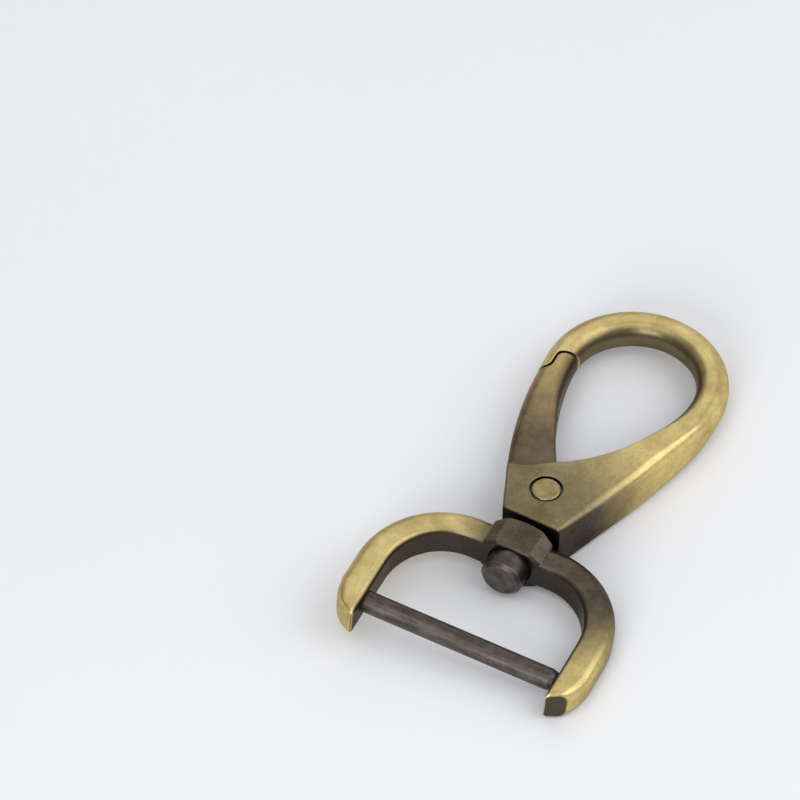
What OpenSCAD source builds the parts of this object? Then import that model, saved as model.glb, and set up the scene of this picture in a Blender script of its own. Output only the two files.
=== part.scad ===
// Swivel snap hook: a cast loop with a sprung gate, and a shackle with a
// screw-in strap bar that turns on a headed stud. It lies on its back face.

/* [Hook body] */
// Radius of the loop's centre line
loop_r = 9.65; // [8:0.05:11]
// Height of the loop's centre above the base of the housing
loop_y = 27.6; // [25:0.1:31]
// Sideways offset of the loop from the swivel axis
loop_off = 1.45; // [0.5:0.05:2]
// Width of the band, seen from the front
band_w = 4; // [3.6:0.1:4.6]
// Thickness of the band at the top of the loop
band_t = 4.3; // [3.8:0.1:4.8]
// Thickness of the housing, face to face
body_t = 6.6; // [6.2:0.1:7.4]
// Base of the housing, from the swivel axis to its gate side
base_l = 3.55; // [3.3:0.05:4]
// Base of the housing, from the swivel axis to its spine side
base_r = 4.25; // [4:0.05:4.8]
// Rise of the base's gate side and fall of its spine side
base_tilt = 0.3; // [0:0.05:0.4]
// Outer corner of the cheeks, sideways from the swivel axis
cheek_x = 6.05; // [5.6:0.05:6.5]
// Outer corner of the cheeks, above the base
cheek_y = 6.9; // [6.6:0.05:7.3]
// Thickness of each cheek beside the gate's slot
cheek_t = 1.1; // [1:0.05:1.3]
// Radius left on the housing's edges
edge_r = 0.35; // [0.15:0.05:0.45]

/* [Gate] */
// Thickness of the gate
gate_t = 4.2; // [3.9:0.05:4.25]
// Radius of the knuckle round the pivot
knuckle_r = 2.4; // [2.2:0.05:2.5]
// Width of the channel down the gate's inner side
channel_w = 2; // [1.8:0.1:2.2]
// Length of the lip that covers the gate's tongue
lip_len = 3.4; // [2.8:0.1:4]
// Thickness of that lip
lip_t = 1.55; // [1.3:0.05:1.7]
// Gap between the gate's tip and the nose
nose_gap = 0.3; // [0.2:0.05:0.4]
// How far the gate swings in
gate_open = 28; // [20:1:30]

/* [Pivot] */
// Height of the pivot above the base
pivot_y = 5; // [4.9:0.05:5.2]
// Diameter of the rivet's shank
rivet_d = 2.2; // [2:0.05:2.3]
// Diameter of the rivet's flush head
rivet_head_d = 3.5; // [3.1:0.1:3.6]
// Thickness of the rivet's flush head
rivet_head_t = 0.55; // [0.45:0.05:0.6]
// Outer diameter of the rivet's rolled end
rivet_rim_d = 2.8; // [2.6:0.1:3]
// Diameter of the hollow in the rolled end
rivet_hole_d = 1.5; // [1.3:0.1:1.6]
// Diameter of the sunk seat round each end of the rivet
seat_d = 4.1; // [3.9:0.1:4.2]
// Diameter of the spring's wire
wire_d = 0.4; // [0.3:0.05:0.45]
// Turns of the spring round the rivet
spring_turns = 2; // [1:1:3]

/* [Swivel] */
// Diameter of the stud's shank, on which the collar turns
stud_d = 3.8; // [3.6:0.1:4]
// Diameter of the stud's tenon in the housing
tenon_d = 3; // [2.6:0.1:3.2]
// Diameter of the stud's head
stud_head_d = 5.3; // [4.8:0.1:5.3]
// Bevel round the end of the stud's head
stud_bevel = 0.45; // [0.3:0.05:0.5]
// How far the head stands out of the collar
stud_proud = 2.7; // [2:0.1:2.8]
// Gap between the housing's base and the collar
swivel_gap = 0.85; // [0.6:0.05:1]

/* [Shackle] */
// Clear width between the legs, for 25 mm webbing
strap_w = 25; // [24:0.1:27]
// Width of a leg
leg_w = 3.8; // [3.6:0.1:4.3]
// Thickness of the legs and arms
leg_t = 4.3; // [4:0.1:4.4]
// Width of the arms beside the collar
arm_w = 3.65; // [3.3:0.05:3.8]
// Reach from the base of the housing to the ends of the legs
leg_y = 22.5; // [22:0.1:23]
// Width of the collar
collar_w = 7.7; // [7.5:0.1:8]
// Length of the collar along the swivel axis
collar_len = 4.4; // [4.2:0.1:4.6]
// Thickness of the collar
collar_t = 6.2; // [6.1:0.05:6.25]
// Width of the collar's sloping flanks
flank_w = 1.6; // [1.2:0.1:1.8]
// Height of the collar's sloping flanks
flank_h = 1; // [0.8:0.05:1.1]
// Radius of the collar's arched top
collar_arch = 9.8; // [8:0.1:14]

/* [Strap bar] */
// Diameter of the bar
bar_d = 2.7; // [2.6:0.05:3.1]
// Distance of the bar from the base of the housing
bar_y = 18.5; // [18.2:0.1:18.8]
// Diameter of the threaded end
thread_d = 2.3; // [2.1:0.05:2.4]
// Wall left in the leg beyond the threaded hole
end_wall = 0.55; // [0.5:0.05:0.8]
// Width of the screwdriver slot
slot_w = 0.6; // [0.5:0.05:0.8]
// Depth of the screwdriver slot
slot_depth = 0.9; // [0.6:0.1:1.1]

/* [Fits] */
// Radial clearance of a turning or sliding fit
run_fit = 0.06; // [0.03:0.01:0.09]
// Radial clearance of a fixed pin in its hole
tight_fit = 0.01; // [0.01:0.005:0.02]
// Gap between a moving part and the walls beside it
side_gap = 0.3; // [0.25:0.01:0.35]
// Radial gap round the stud's head in the collar
head_gap = 0.2; // [0.15:0.01:0.25]

/* [Hidden] */
$fn = 64;
mid_z = body_t / 2;
corner_steps = 3;

// Loop outlines
loop_ro = loop_r + band_w / 2;
loop_ri = loop_r - band_w / 2;
spine_xo = loop_off + loop_ro;
spine_xi = loop_off + loop_ri;
nose_xo = loop_off - loop_ro;
nose_xi = loop_off - loop_ri;
crotch = [-0.7, pivot_y + 4.6];
nose_y = loop_y + 0.1;
lip_y = nose_y - lip_len;

// Seats and bores
seat_front = rivet_head_t;
seat_back = 0.5;
pivot_bore_r = rivet_d / 2 + run_fit;
root_t = gate_t - 0.06;
slot_r = knuckle_r + side_gap;
slot_floor = pivot_y - slot_r;
tenon_len = slot_floor - 0.15;
stud_seat = base_tilt * 0.5;

// Collar and stud along the swivel axis
collar_top = -swivel_gap;
collar_end = collar_top - collar_len;
head_seat = 1;
head_top = collar_end + head_seat - 0.1;
head_end = collar_end - stud_proud;

// Shackle outline
leg_xi = strap_w / 2;
leg_xo = leg_xi + leg_w;
arm_yo = collar_top - 0.7;
arm_yi = arm_yo - arm_w;
arm_x = 5.2;
bend_y = -13.2;
tail_y = bar_y - 1.2;
leg_round = 0.62;
crest_round = 0.24;
flank_soft = 0.35;

// The free shackle leans until one leg touches the ground
lean_a = leg_xo - leg_round * leg_w / 2;
lean_b = leg_t / 2;
lean = asin((mid_z - 0.03) / norm([lean_a, lean_b])) - atan2(lean_b, lean_a);

// Strap bar
bar_x0 = -leg_xo + 0.8;
bar_hole_x = leg_xo - end_wall;
bar_x1 = bar_hole_x - 0.2;
shoulder_x = leg_xi - 0.2;

// The origin is under the middle of the whole hook
shift_y = (leg_y - loop_y - loop_ro) / 2;

// Point at t on a cubic curve
function bez(p, t) =
    pow(1 - t, 3) * p[0] + 3 * t * pow(1 - t, 2) * p[1] + 3 * t * t * (1 - t) * p[2] + pow(t, 3) * p[3];

// Value that eases from a to b while t goes from t0 to t1
function ease(t, t0, t1, a, b) =
    let (u = min(max((t - t0) / (t1 - t0), 0), 1))
    a + (b - a) * u * u * (3 - 2 * u);

// Corner of a section: quarter ellipse about c, from angle a0
function corner(c, rx, rz, a0) =
    [for (i = [0:corner_steps]) let (a = a0 + 90 * i / corner_steps) c + [rx * cos(a), rz * sin(a)]];

// Rounded section from s = 0 (inner side) to s = w (outer side)
function section(w, c, qi, qo) =
    let (ri = max(edge_r, qi * w / 2), ro = max(edge_r, qo * w / 2))
    let (zi = max(edge_r, qi * c), zo = max(edge_r, qo * c))
    concat(
        corner([w - ro, zo - c], ro, zo, -90),
        corner([w - ro, c - zo], ro, zo, 0),
        corner([ri, c - zi], ri, zi, 90),
        corner([ri, zi - c], ri, zi, 180)
    );

// Ring of points across the band from inner point a to outer point b
function ring(a, b, c, qi, qo) =
    let (w = norm(b - a), d = (b - a) / w)
    [for (q = section(w, c, qi, qo)) [a.x + d.x * q.x, a.y + d.y * q.x, q.y]];

// Solid through a row of rings
module loft(rings) {
    n = len(rings[0]);
    m = len(rings);
    polyhedron(
        points = [for (r = rings) each r],
        faces = concat(
            [[for (j = [n - 1:-1:0]) j]],
            [for (i = [0:m - 2], j = [0:n - 1])
                let (k = (j + 1) % n) [i * n + j, i * n + k, (i + 1) * n + k, (i + 1) * n + j]],
            [[for (j = [0:n - 1]) (m - 1) * n + j]]
        ),
        convexity = 8
    );
}

// Outlines of the hook body, from the base to the crotch and up the spine
spine_out = [
    [base_r, -base_tilt],
    [base_r + (spine_xo - base_r) * 0.57, loop_y * 0.42],
    [spine_xo, loop_y * 0.76],
    [spine_xo, loop_y]
];
spine_in = [
    crotch,
    [crotch.x + (spine_xi - crotch.x) * 0.52, crotch.y + (loop_y - crotch.y) * 0.14],
    [spine_xi, crotch.y + (loop_y - crotch.y) * 0.51],
    [spine_xi, loop_y]
];
cheek_in = [
    [-cheek_x, cheek_y],
    [-cheek_x + 2.2, cheek_y + 0.2],
    [crotch.x - 1.6, crotch.y - 1],
    crotch
];

module hook_form() {
    foot = [[0, 0.4], [0.015, 0.16], [0.05, 0], [0.25, 0], [0.5, 0], [0.75, 0]];
    side = [for (f = foot) let (t = f[0])
        ring(
            [-base_l + (base_l - cheek_x) * t, base_tilt + (cheek_y - base_tilt) * t],
            bez(spine_out, t * 0.16), mid_z - f[1], 0, 0
        )];
    cheek = [for (t = [0:0.2:0.8]) ring(bez(cheek_in, t), bez(spine_out, 0.16 + t * 0.14), mid_z, 0, 0)];
    spine = [for (i = [0:17]) let (t = i / 18)
        ring(
            bez(spine_in, t), bez(spine_out, 0.3 + t * 0.7),
            ease(t, 0.25, 1.1, mid_z, band_t / 2 + 0.1), ease(t, 0.5, 1, 0, 0.9),
            max(ease(t, 0, 0.5, 0.08, 0.3), ease(t, 0.35, 1, 0, 0.94))
        )];
    top = [for (i = [0:20]) let (a = 180 * i / 20, d = [cos(a), sin(a)], c = [loop_off, loop_y])
        ring(c + d * loop_ri, c + d * loop_ro, ease(i, 0, 10, band_t / 2 + 0.1, band_t / 2), 0.9, 0.94)];
    nose = [for (t = [0.5, 1]) let (y = loop_y - (loop_y - lip_y) * t)
        ring([nose_xi - 0.1 * t, y], [nose_xo + 0.15 * t, y], band_t / 2, 0.9, 0.94)];
    translate([0, 0, mid_z])
        loft(concat(side, cheek, spine, top, nose));
}

// Room that the gate's root needs between the cheeks
module gate_slot() {
    h = body_t - 2 * cheek_t;
    translate([0, 0, cheek_t]) {
        translate([0, pivot_y, 0])
            cylinder(r = slot_r, h = h);
        translate([-cheek_x - 4, slot_floor, 0])
            cube([cheek_x + 4, cheek_y + 8 - slot_floor, h]);
        translate([-1, pivot_y, 0])
            cube([1 + slot_r, 9, h]);
    }
}

// Line of the stepped joint between nose and gate, moved off by a gap
lip_x = nose_xo + lip_t;
function lip_step(gap, drop) = [
    for (p = [
        [nose_xo - 1, lip_y - 0.35 - drop], [lip_x - 0.7, lip_y + 0.18 - drop / 4], [lip_x - 0.3, lip_y + 0.36],
        [lip_x - 0.08, lip_y + 0.6], [lip_x, lip_y + 0.95], [lip_x, nose_y - 1], [lip_x + 0.08, nose_y - 0.7],
        [lip_x + 0.3, nose_y - 0.42], [lip_x + 0.65, nose_y - 0.2], [nose_xi + 2, nose_y + 1.2]
    ]) p + [gap, -gap]
];

// Tongue pocket behind the lip of the nose
module nose_pocket() {
    translate([0, 0, -1])
        linear_extrude(body_t + 2)
            polygon(concat(lip_step(0, 0), [[nose_xi + 2, lip_y - 2], [nose_xo - 1, lip_y - 2]]));
}

module hook_body() {
    color("#A8975C")
    place() {
        difference() {
            hook_form();
            gate_slot();
            nose_pocket();
            translate([0, pivot_y, -1])
                cylinder(r = rivet_d / 2 + tight_fit, h = body_t + 2);
            translate([0, pivot_y, -1])
                cylinder(d = seat_d, h = 1 + seat_back);
            translate([0, pivot_y, body_t - seat_front])
                cylinder(d = seat_d, h = 2);
            translate([0, -1, mid_z])
                rotate([-90, 0, 0]) {
                    cylinder(r = tenon_d / 2 + tight_fit, h = slot_floor + 1.2);
                    cylinder(r = stud_d / 2 + tight_fit, h = 1 + stud_seat);
                }
        }
    }
}

// Outlines of the gate, from its root to its tip
gate_rise = loop_y - pivot_y;
gate_out = [
    [-cheek_x + 0.05, cheek_y - 0.4],
    [-cheek_x * 1.32, cheek_y + gate_rise * 0.22],
    [nose_xo, loop_y - gate_rise * 0.39],
    [nose_xo + 0.1, loop_y + 0.3]
];
gate_in = [
    [0.6, pivot_y + 2.5],
    [0.6 + (nose_xi - 0.6) * 0.47, pivot_y + gate_rise * 0.35],
    [nose_xi, loop_y - gate_rise * 0.36],
    [nose_xi, loop_y + 0.3]
];

module gate_form() {
    tip = 0.99;
    n = 16;
    translate([0, 0, mid_z])
        loft([for (i = [n:-1:0]) let (t = tip * i / n)
            ring(bez(gate_in, t), bez(gate_out, t), gate_t / 2, ease(t, 0.4, 1, 0.12, 0.9), ease(t, 0, 1, 0.4, 0.92))]);
}

// Root of the gate: a heel that rests in the slot and a knuckle round the pivot
module gate_root() {
    heel = [-base_l - 0.95, pivot_y - knuckle_r];
    inset = [0.35, 0];
    reach = gate_in[0] - [0, pivot_y];
    turn = atan2(reach.y, reach.x) - acos(knuckle_r / norm(reach));
    knuckle = [for (i = [0:12]) let (a = (turn + 90) * i / 12 - 90)
        [knuckle_r * cos(a), pivot_y + knuckle_r * sin(a)]];
    translate([0, 0, mid_z - root_t / 2])
        linear_extrude(root_t)
            polygon(concat(
                [gate_out[0] + [0.06, 0.03], heel], knuckle,
                [gate_in[0], bez(gate_in, 0.06) - inset, bez(gate_out, 0.06) + inset]
            ));
}

// Channel down the inner side, open round the spring
module gate_channel() {
    floor_line = [for (i = [0:8]) let (t = 0.06 + 0.55 * i / 8) bez(gate_out, t) * 0.62 + bez(gate_in, t) * 0.38];
    last = bez(gate_in, 0.61);
    translate([0, 0, mid_z - channel_w / 2]) {
        translate([0, pivot_y, 0])
            cylinder(r = knuckle_r - 0.45, h = channel_w);
        linear_extrude(channel_w)
            polygon(concat(
                [[-knuckle_r + 0.45, pivot_y]], floor_line,
                [last + [1, 0.6], [knuckle_r + 2, last.y - 2], [knuckle_r + 2, pivot_y]]
            ));
    }
}

module gate() {
    color("#94835A")
    place() {
        difference() {
            union() {
                gate_form();
                gate_root();
            }
            gate_channel();
            translate([0, pivot_y, 0])
                cylinder(r = pivot_bore_r, h = body_t);
            translate([0, 0, -1])
                linear_extrude(body_t + 2)
                    polygon(concat(
                        lip_step(nose_gap, 0.4),
                        [[nose_xi + 3, nose_y + 1], [nose_xi + 3, loop_y + 3], [nose_xo - 1, loop_y + 3]]
                    ));
        }
    }
}

module pivot_rivet() {
    r = rivet_d / 2;
    color("#8C7F58")
    place()
        translate([0, pivot_y, 0])
            rotate_extrude()
                polygon([
                    [0, 2], [rivet_hole_d / 2, 2], [rivet_hole_d / 2, 0.35], [rivet_hole_d / 2 + 0.12, 0.2],
                    [rivet_rim_d / 2 - 0.18, 0.2], [rivet_rim_d / 2, 0.34], [rivet_rim_d / 2, seat_back],
                    [r, seat_back], [r, body_t - seat_front], [rivet_head_d / 2, body_t - seat_front],
                    [rivet_head_d / 2, body_t - 0.1], [rivet_head_d / 2 - 0.15, body_t], [0, body_t]
                ]);
}

// Line of the spring's wire: leg in the gate, coil, leg on the housing
coil_r = pivot_bore_r + 0.08 + wire_d / 2;
leg_aim = bez(gate_out, 0.5) * 0.3 + bez(gate_in, 0.5) * 0.7 - [0, pivot_y];
leg_len = sqrt(leg_aim * leg_aim - coil_r * coil_r);
coil_a0 = atan2(leg_aim.y, leg_aim.x) + acos(coil_r / norm(leg_aim));
coil_a1 = 350 + 360 * spring_turns;
coil_steps = 14 * spring_turns + 6;
coil_h = channel_w - 0.4 - wire_d;
leg_a = [cos(coil_a0 - 90), sin(coil_a0 - 90)];
leg_b = [cos(coil_a1 + 90), sin(coil_a1 + 90)];
function coil_at(a) = [coil_r * cos(a), pivot_y + coil_r * sin(a)];
wire_line = concat(
    [for (s = [1, 0.65, 0.3]) let (p = coil_at(coil_a0) + s * leg_len * leg_a) [p.x, p.y, -coil_h / 2]],
    [for (i = [0:coil_steps]) let (u = i / coil_steps, p = coil_at(coil_a0 + (coil_a1 - coil_a0) * u))
        [p.x, p.y, -coil_h / 2 + coil_h * u]],
    [for (s = [2.5, 5]) let (p = coil_at(coil_a1) + s * leg_b) [p.x, p.y, coil_h / 2]]
);

module gate_spring() {
    sides = 6;
    n = len(wire_line);
    color("#6E6A66")
    place()
        translate([0, 0, mid_z])
            loft([for (i = [0:n - 1])
                let (d = wire_line[min(i + 1, n - 1)] - wire_line[max(i - 1, 0)])
                let (h = [d.y, -d.x, 0] / norm([d.x, d.y]), v = cross(d, h) / norm(d))
                [for (j = [0:sides - 1]) let (a = -360 * j / sides)
                    wire_line[i] + wire_d / 2 * (h * cos(a) + v * sin(a))]]);
}

module swivel_stud() {
    color("#5A5450")
    place()
        translate([0, 0, mid_z])
            rotate([-90, 0, 0])
                rotate_extrude()
                    polygon([
                        [0, head_end], [stud_head_d / 2 - stud_bevel, head_end],
                        [stud_head_d / 2, head_end + stud_bevel], [stud_head_d / 2, head_top],
                        [stud_d / 2, head_top], [stud_d / 2, stud_seat], [tenon_d / 2, stud_seat],
                        [tenon_d / 2, tenon_len],
                        [0, tenon_len]
                    ]);
}

// Outer edge of a leg, curved in towards its end
function leg_out(t) =
    let (y = bend_y - (leg_y - 1.2 + bend_y) * t, d = max(-y - tail_y, 0))
    [leg_xo - 0.085 * d * d, y];

// Rings of one side of the shackle, from the leg's end to the collar
function side_rings(s) = concat(
    [for (i = [6:-1:1]) let (t = i / 6)
        shackle_ring([leg_xi, bend_y - (leg_y + bend_y) * t], leg_out(t), s)],
    [for (i = [0:10]) let (a = 9 * i)
        shackle_ring(
            [arm_x + (leg_xi - arm_x) * cos(a), bend_y + (arm_yi - bend_y) * sin(a)],
            [arm_x + (leg_xo - arm_x) * cos(a), bend_y + (arm_yo - bend_y) * sin(a)], s
        )]
);
function shackle_ring(a, b, s) = ring([s * a.x, a.y], [s * b.x, b.y], leg_t / 2, crest_round, leg_round);
function reversed(v) = [for (i = [len(v) - 1:-1:0]) v[i]];

// Collar: sloping flanks, rounded at its end, arched at its top
module collar_form() {
    intersection() {
        loft([for (s = [[0.42, 0], [0.2, 0.08], [0.06, 0.24], [0, 0.5], [0, collar_len + 0.5]])
            collar_ring(s[0], collar_end + s[1])]);
        translate([0, collar_top - collar_arch, -collar_t])
            cylinder(r = collar_arch, h = 2 * collar_t, $fn = 180);
    }
}
function collar_ring(inset, y) =
    let (w = collar_w / 2 - inset, h = collar_t / 2 - inset)
    let (q = [
        [w, flank_h - h], [w, h - flank_h], [w - flank_w, h], [flank_w - w, h],
        [-w, h - flank_h], [-w, flank_h - h], [flank_w - w, -h], [w - flank_w, -h]
    ])
    [for (i = [0:7], k = [0:2])
        let (a = q[(i + 7) % 8] - q[i], b = q[(i + 1) % 8] - q[i])
        let (u = a / norm(a), v = b / norm(b))
        let (p = q[i] + flank_soft * (k == 0 ? u : k == 1 ? (u + v) / 4 : v))
        [p.x, y, p.y]];

module shackle() {
    color("#A08F5A")
    place() lean_over() {
        difference() {
            union() {
                loft(concat(side_rings(1), reversed(side_rings(-1))));
                collar_form();
            }
            rotate([90, 0, 0])
                cylinder(r = stud_d / 2 + run_fit, h = leg_y);
            translate([0, collar_end + head_seat, 0])
                rotate([90, 0, 0])
                    cylinder(r = stud_head_d / 2 + head_gap, h = leg_y);
            translate([-leg_xo - 1, -bar_y, 0])
                rotate([0, 90, 0])
                    cylinder(r = bar_d / 2 + run_fit, h = leg_w + 2);
            translate([leg_xi - 1, -bar_y, 0])
                rotate([0, 90, 0])
                    cylinder(r = thread_d / 2 + run_fit, h = bar_hole_x - leg_xi + 1);
        }
    }
}

module screw_bar() {
    r = bar_d / 2;
    q = thread_d / 2;
    color("#575049")
    place() lean_over()
        translate([0, -bar_y, 0])
            difference() {
                rotate([0, 90, 0])
                    rotate_extrude()
                        polygon([
                            [0, bar_x0], [r - 0.25, bar_x0], [r, bar_x0 + 0.25], [r, shoulder_x - 0.35],
                            [q, shoulder_x], [q, bar_x1 - 0.3], [q - 0.3, bar_x1], [0, bar_x1]
                        ]);
                translate([bar_x0 - 1, -slot_w / 2, -r - 1])
                    cube([1 + slot_depth, slot_w, 2 * r + 2]);
            }
}

// Swivelled about the stud's axis to its place at rest
module lean_over() {
    translate([0, 0, mid_z])
        rotate([0, lean, 0])
            children();
}

module place() {
    translate([0, shift_y, 0])
        children();
}

hook_body();
gate();
pivot_rivet();
gate_spring();
swivel_stud();
shackle();
screw_bar();
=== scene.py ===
# %% [markdown]
# # Swivel snap hook
# A cast hook with a sprung gate turns on a headed stud in a D-shaped shackle, and a screwed
# bar closes the shackle round a strap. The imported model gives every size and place. This
# file gives the castings their smooth skin, cuts the bar's thread, winds the spring and
# works out the finishes: antique brass plating under lacquer, and dark plated steel.

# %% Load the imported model
import math
import bmesh
import bpy
from mathutils import Matrix, Vector


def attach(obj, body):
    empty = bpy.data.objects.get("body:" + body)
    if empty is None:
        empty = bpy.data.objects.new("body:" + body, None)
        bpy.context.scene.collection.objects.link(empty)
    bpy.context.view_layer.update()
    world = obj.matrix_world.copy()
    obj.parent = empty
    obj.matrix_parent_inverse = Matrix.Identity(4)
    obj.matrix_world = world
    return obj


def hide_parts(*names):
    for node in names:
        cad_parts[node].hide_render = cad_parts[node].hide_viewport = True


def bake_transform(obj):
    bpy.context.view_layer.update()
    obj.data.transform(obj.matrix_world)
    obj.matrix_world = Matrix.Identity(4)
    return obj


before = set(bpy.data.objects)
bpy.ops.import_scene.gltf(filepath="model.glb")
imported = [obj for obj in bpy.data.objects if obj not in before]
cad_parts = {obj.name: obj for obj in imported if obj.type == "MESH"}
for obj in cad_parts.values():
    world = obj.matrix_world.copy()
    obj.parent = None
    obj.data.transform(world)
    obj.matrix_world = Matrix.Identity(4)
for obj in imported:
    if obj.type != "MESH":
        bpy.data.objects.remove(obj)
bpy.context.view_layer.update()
MM = 0.001
print("nodes:", sorted(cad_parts))

# %% [markdown]
# The castings are drawn in millimetres, with the base of the hook's housing at y = 0 and
# the swivel's axis at x = 0, as a maker would measure them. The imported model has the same
# axes, only moved along y so that its origin is under the middle of the whole hook. The
# sizes are those of the solids, so the skin and the solid stay one shape.

# %% Sizes of the hook and its gate, in millimetres
SHIFT_Y = -8.375
BODY_T = 6.6
MID_Z = BODY_T / 2
LOOP_R, LOOP_Y, LOOP_X, BAND_W, BAND_T = 9.65, 27.6, 1.45, 4.0, 4.3
LOOP_RO, LOOP_RI = LOOP_R + BAND_W / 2, LOOP_R - BAND_W / 2
SPINE_XO, SPINE_XI = LOOP_X + LOOP_RO, LOOP_X + LOOP_RI
NOSE_XO, NOSE_XI = LOOP_X - LOOP_RO, LOOP_X - LOOP_RI
BASE_L, BASE_R, BASE_TILT = 3.55, 4.25, 0.3
CHEEK_X, CHEEK_Y, CHEEK_T = 6.05, 6.9, 1.1
PIVOT_Y, KNUCKLE_R, GATE_T, SIDE_GAP = 5.0, 2.4, 4.2, 0.3
EDGE_R = 0.35
print("eye is", 2 * LOOP_RI, "mm across inside")

# %% [markdown]
# Each casting is a rounded band that follows a curve. It could be cut from a block or
# swept with one fixed profile, but its section changes all the way, so it is lofted: a row
# of rings, each a cross-section with its own width, thickness and corner rounding. The
# same rule as in the solid gives the rings, only with more of them, so that the light runs
# smoothly round the loop.

# %% Curves and cross-sections
QUARTER = [math.pi / 2 * i / 6 for i in range(7)]


def bez(p, t):
    """A point on the smooth curve that four points steer."""
    w = ((1 - t) ** 3, 3 * t * (1 - t) ** 2, 3 * t * t * (1 - t), t ** 3)
    return Vector([sum(k * q[i] for k, q in zip(w, p)) for i in (0, 1)])


def ease(t, t0, t1, a, b):
    """Goes softly from a to b while t goes from t0 to t1."""
    u = min(max((t - t0) / (t1 - t0), 0), 1)
    return a + (b - a) * u * u * (3 - 2 * u)


def corner(cx, cz, rx, rz, a0, steps=8):
    turn = [math.radians(a0 + 90 * i / steps) for i in range(steps + 1)]
    return [(cx + rx * math.cos(a), cz + rz * math.sin(a)) for a in turn]


def section(w, c, qi, qo, crown=1.0):
    """Outline w wide and 2 c thick. qi and qo, from 0 to 1, round its inner and outer
    corners, and a crown under 1 makes them flatter than they are wide."""
    ri, ro = max(EDGE_R, qi * w / 2), max(EDGE_R, qo * w / 2)
    zi, zo = max(EDGE_R, qi * c * crown), max(EDGE_R, qo * c * crown)
    return (corner(w - ro, zo - c, ro, zo, -90) + corner(w - ro, c - zo, ro, zo, 0)
            + corner(ri, c - zi, ri, zi, 90) + corner(ri, zi - c, ri, zi, 180))


def ring(a, b, c, qi, qo, crown=1.0):
    """Stands a section upright on the line from a, inside, to b, outside."""
    a, b = Vector(a), Vector(b)
    w = (b - a).length
    d = (b - a) / w
    return [Vector((a.x + d.x * s, a.y + d.y * s, z)) for s, z in section(w, c, qi, qo, crown)]


print("a section has", len(section(4, 2, 0.9, 0.9)), "points")

# %% [markdown]
# The loft joins each ring to the next and closes both ends. It also lays out a UV map
# called "flow", in millimetres: along the band and round it. The brushing of the metal
# follows that map later, as the real polishing belt does.

# %% Loft
def new_piece(name, mesh):
    obj = bpy.data.objects.new(name, mesh)
    bpy.context.scene.collection.objects.link(obj)
    return obj


def close_up(name, bm):
    """Turns every face outwards and makes the finished mesh an object."""
    bmesh.ops.recalc_face_normals(bm, faces=bm.faces)
    mesh = bpy.data.meshes.new(name)
    bm.to_mesh(mesh)
    bm.free()
    return new_piece(name, mesh)


def loft(name, rings, lift=MID_Z):
    bm = bmesh.new()
    uv = bm.loops.layers.uv.new("flow")
    n = len(rings[0])
    rows = [[bm.verts.new((p.x, p.y, p.z + lift)) for p in r] for r in rings]
    along, run = [0.0], 0.0
    for r0, r1 in zip(rings, rings[1:]):
        run += sum((q - p).length for p, q in zip(r0, r1)) / n
        along.append(run)
    for i in range(len(rings) - 1):
        around = 0.0
        for j in range(n):
            k = (j + 1) % n
            step = (rings[i][k] - rings[i][j]).length
            face = bm.faces.new((rows[i][k], rows[i][j], rows[i + 1][j], rows[i + 1][k]))
            spots = ((along[i], around + step), (along[i], around),
                     (along[i + 1], around), (along[i + 1], around + step))
            for loop, spot in zip(face.loops, spots):
                loop[uv].uv = spot
            around += step
    bm.faces.new(rows[0])
    bm.faces.new(list(reversed(rows[-1])))
    return close_up(name, bm)


# %% [markdown]
# Slots and bores are cut into the real castings, or left by cores in the mould. Here plain
# blocks and drums do it with an exact Boolean, which keeps sharp, true edges. A small cut
# drawn into the rings by hand would only hold for one size.

# %% Cutting tools
def arc(r, cy, a0, a1, steps):
    """Points on a circle round (0, cy), from angle a0 to a1."""
    turn = [a0 + (a1 - a0) * i / steps for i in range(steps + 1)]
    return [(r * math.cos(a), cy + r * math.sin(a)) for a in turn]


def prism(points, z0, z1):
    bm = bmesh.new()
    bm.loops.layers.uv.new("flow")
    low = [bm.verts.new((p[0], p[1], z0)) for p in points]
    high = [bm.verts.new((p[0], p[1], z1)) for p in points]
    bm.faces.new(low)
    bm.faces.new(high)
    for i in range(len(points)):
        k = (i + 1) % len(points)
        bm.faces.new((low[i], low[k], high[k], high[i]))
    return close_up("tool", bm)


def drum(centre, towards, r, sides=96):
    axis = Vector(towards) - Vector(centre)
    turn = axis.to_track_quat("Z", "Y").to_matrix().to_4x4()
    obj = prism(arc(r, 0, 0, 2 * math.pi, sides)[:-1], 0, axis.length)
    obj.data.transform(Matrix.Translation(centre) @ turn)
    return obj


def carve(piece, tool, how="DIFFERENCE"):
    mod = piece.modifiers.new("carve", "BOOLEAN")
    mod.operation, mod.solver, mod.object = how, "EXACT", tool
    graph = bpy.context.evaluated_depsgraph_get()
    made = bpy.data.meshes.new_from_object(piece.evaluated_get(graph))
    piece.modifiers.clear()
    piece.data = made
    bpy.data.objects.remove(tool)


# %% [markdown]
# A finished casting goes from millimetres to metres and to its place. Faces that meet at
# less than 32 degrees shade as one surface, and weighted normals keep the flats flat.

# %% Put a finished casting in its place
WELD = 0.002 * MM


def settle(piece, lean=0.0, sharp=32):
    mesh = piece.data
    place = Matrix.Translation((0, SHIFT_Y, 0))
    if lean:
        up = Matrix.Translation((0, 0, MID_Z))
        place = place @ up @ Matrix.Rotation(lean, 4, "Y")
    mesh.transform(Matrix.Scale(MM, 4) @ place)
    bm = bmesh.new()
    bm.from_mesh(mesh)
    bmesh.ops.remove_doubles(bm, verts=bm.verts, dist=WELD)
    for face in bm.faces:
        face.smooth = True
    for edge in bm.edges:
        edge.smooth = len(edge.link_faces) == 2 and edge.calc_face_angle(0) < math.radians(sharp)
    bm.to_mesh(mesh)
    count = sum(len(f.verts) - 2 for f in bm.faces)
    bm.free()
    piece.modifiers.new("flat_faces_stay_flat", "WEIGHTED_NORMAL").keep_sharp = True
    print(piece.name, "has", count, "triangles")


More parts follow.
